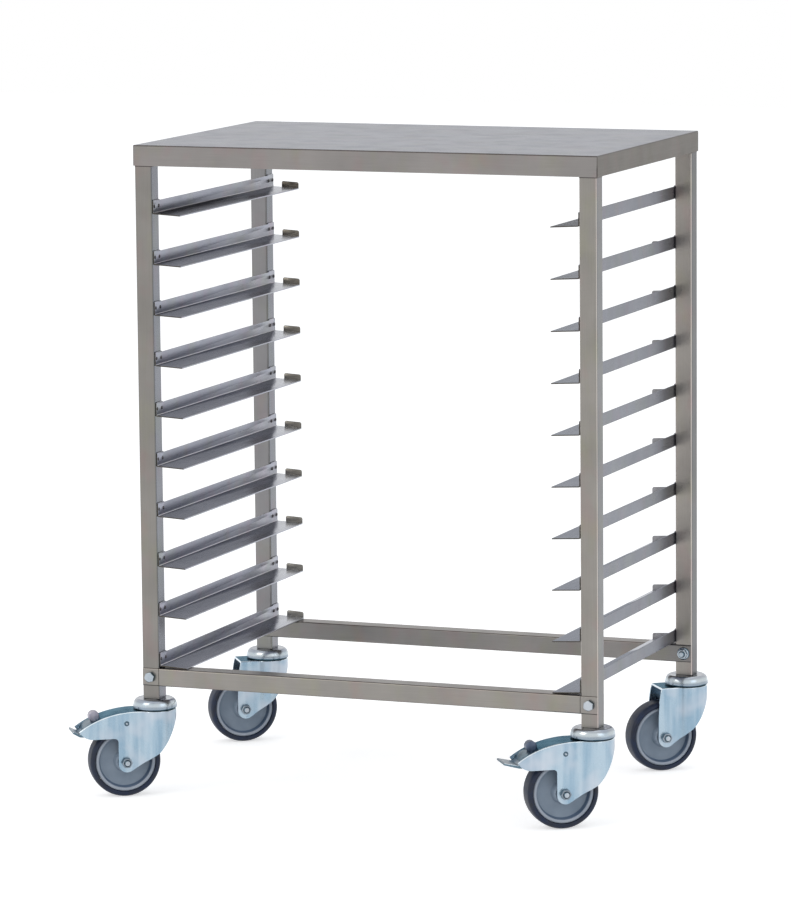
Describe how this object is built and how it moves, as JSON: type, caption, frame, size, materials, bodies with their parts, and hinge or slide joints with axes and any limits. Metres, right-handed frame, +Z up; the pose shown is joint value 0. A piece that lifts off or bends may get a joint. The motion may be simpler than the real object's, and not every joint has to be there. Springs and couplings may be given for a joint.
{
  "type": "table trolley",
  "caption": "Flat-topped square-tube table trolley with pairs of angle tray runners between its legs and swivel casters, the front ones with foot brakes.",
  "frame": {"origin": "on the floor, under the middle of the whole trolley's bounding box with its casters trailing as pictured", "axes": "+X to the right seen from the front, +Y from the open front to the runner stops at the rear, +Z up"},
  "size_m": [0.7842, 0.5246, 0.907],
  "materials": {
    "worktop_steel": "brushed stainless sheet",
    "tube_steel": "satin stainless tube",
    "runner_steel": "satin stainless sheet",
    "zinc": "bright blue zinc plate",
    "tyre": "blue-black rubber",
    "rim": "moulded grey plastic",
    "pedal": "dark zinc plate, plastic-dipped lip"
  },
  "bodies": {
    "root": {"worktop": "worktop_steel", "leg_front_left": "tube_steel", "leg_front_right": "tube_steel", "leg_rear_left": "tube_steel", "leg_rear_right": "tube_steel", "cross_rail_front": "tube_steel", "cross_rail_rear": "tube_steel", "runner_left_01": "runner_steel", "runner_left_02": "runner_steel", "runner_left_03": "runner_steel", "runner_left_04": "runner_steel", "runner_left_05": "runner_steel", "runner_left_06": "runner_steel", "runner_left_07": "runner_steel", "runner_left_08": "runner_steel", "runner_left_09": "runner_steel", "runner_left_10": "runner_steel", "runner_right_01": "runner_steel", "runner_right_02": "runner_steel", "runner_right_03": "runner_steel", "runner_right_04": "runner_steel", "runner_right_05": "runner_steel", "runner_right_06": "runner_steel", "runner_right_07": "runner_steel", "runner_right_08": "runner_steel", "runner_right_09": "runner_steel", "runner_right_10": "runner_steel", "cross_screw_front_left": "zinc", "cross_screw_front_right": "zinc", "cross_screw_rear_left": "zinc", "cross_screw_rear_right": "zinc", "cross_nut_front_left": "zinc", "cross_nut_front_right": "zinc", "cross_nut_rear_left": "zinc", "cross_nut_rear_right": "zinc", "swivel_head_front_left": "zinc", "swivel_head_front_right": "zinc", "swivel_head_rear_left": "zinc", "swivel_head_rear_right": "zinc"},
    "caster_front_left": {"caster_fork_front_left": "zinc", "axle_screw_front_left": "zinc", "brake_pin_front_left": "zinc"},
    "wheel_front_left": {"wheel_rim_front_left": "rim", "wheel_tyre_front_left": "tyre"},
    "brake_front_left": {"brake_pedal_front_left": "pedal"},
    "caster_front_right": {"caster_fork_front_right": "zinc", "axle_screw_front_right": "zinc", "brake_pin_front_right": "zinc"},
    "wheel_front_right": {"wheel_rim_front_right": "rim", "wheel_tyre_front_right": "tyre"},
    "brake_front_right": {"brake_pedal_front_right": "pedal"},
    "caster_rear_left": {"caster_fork_rear_left": "zinc", "axle_screw_rear_left": "zinc"},
    "wheel_rear_left": {"wheel_rim_rear_left": "rim", "wheel_tyre_rear_left": "tyre"},
    "caster_rear_right": {"caster_fork_rear_right": "zinc", "axle_screw_rear_right": "zinc"},
    "wheel_rear_right": {"wheel_rim_rear_right": "rim", "wheel_tyre_rear_right": "tyre"}
  },
  "joints": [
    {"name": "swivel_front_left", "type": "hinge", "parent": "root", "child": "caster_front_left", "pos_m": [-0.28286, -0.17272, 0.11975], "axis": [0, 0, 1], "continuous": true},
    {"name": "roll_front_left", "type": "hinge", "parent": "caster_front_left", "child": "wheel_front_left", "pos_m": [-0.32, -0.19777, 0.05], "axis": [0.5592, -0.829, 0], "continuous": true},
    {"name": "brake_press_front_left", "type": "hinge", "parent": "caster_front_left", "child": "brake_front_left", "pos_m": [-0.31934, -0.19733, 0.1048], "axis": [0.5592, -0.829, 0], "range_deg": [0, 6]},
    {"name": "swivel_front_right", "type": "hinge", "parent": "root", "child": "caster_front_right", "pos_m": [0.36214, -0.17272, 0.11975], "axis": [0, 0, 1], "continuous": true},
    {"name": "roll_front_right", "type": "hinge", "parent": "caster_front_right", "child": "wheel_front_right", "pos_m": [0.32544, -0.19842, 0.05], "axis": [0.5736, -0.8192, 0], "continuous": true},
    {"name": "brake_press_front_right", "type": "hinge", "parent": "caster_front_right", "child": "brake_front_right", "pos_m": [0.3261, -0.19796, 0.1048], "axis": [0.5736, -0.8192, 0], "range_deg": [0, 6]},
    {"name": "swivel_rear_left", "type": "hinge", "parent": "root", "child": "caster_rear_left", "pos_m": [-0.28286, 0.23228, 0.11975], "axis": [0, 0, 1], "continuous": true},
    {"name": "roll_rear_left", "type": "hinge", "parent": "caster_rear_left", "child": "wheel_rear_left", "pos_m": [-0.31448, 0.21014, 0.05], "axis": [0.5736, -0.8192, 0], "continuous": true},
    {"name": "swivel_rear_right", "type": "hinge", "parent": "root", "child": "caster_rear_right", "pos_m": [0.36214, 0.23228, 0.11975], "axis": [0, 0, 1], "continuous": true},
    {"name": "roll_rear_right", "type": "hinge", "parent": "caster_rear_right", "child": "wheel_rear_right", "pos_m": [0.33172, 0.20851, 0.05], "axis": [0.6157, -0.788, 0], "continuous": true}
  ]
}
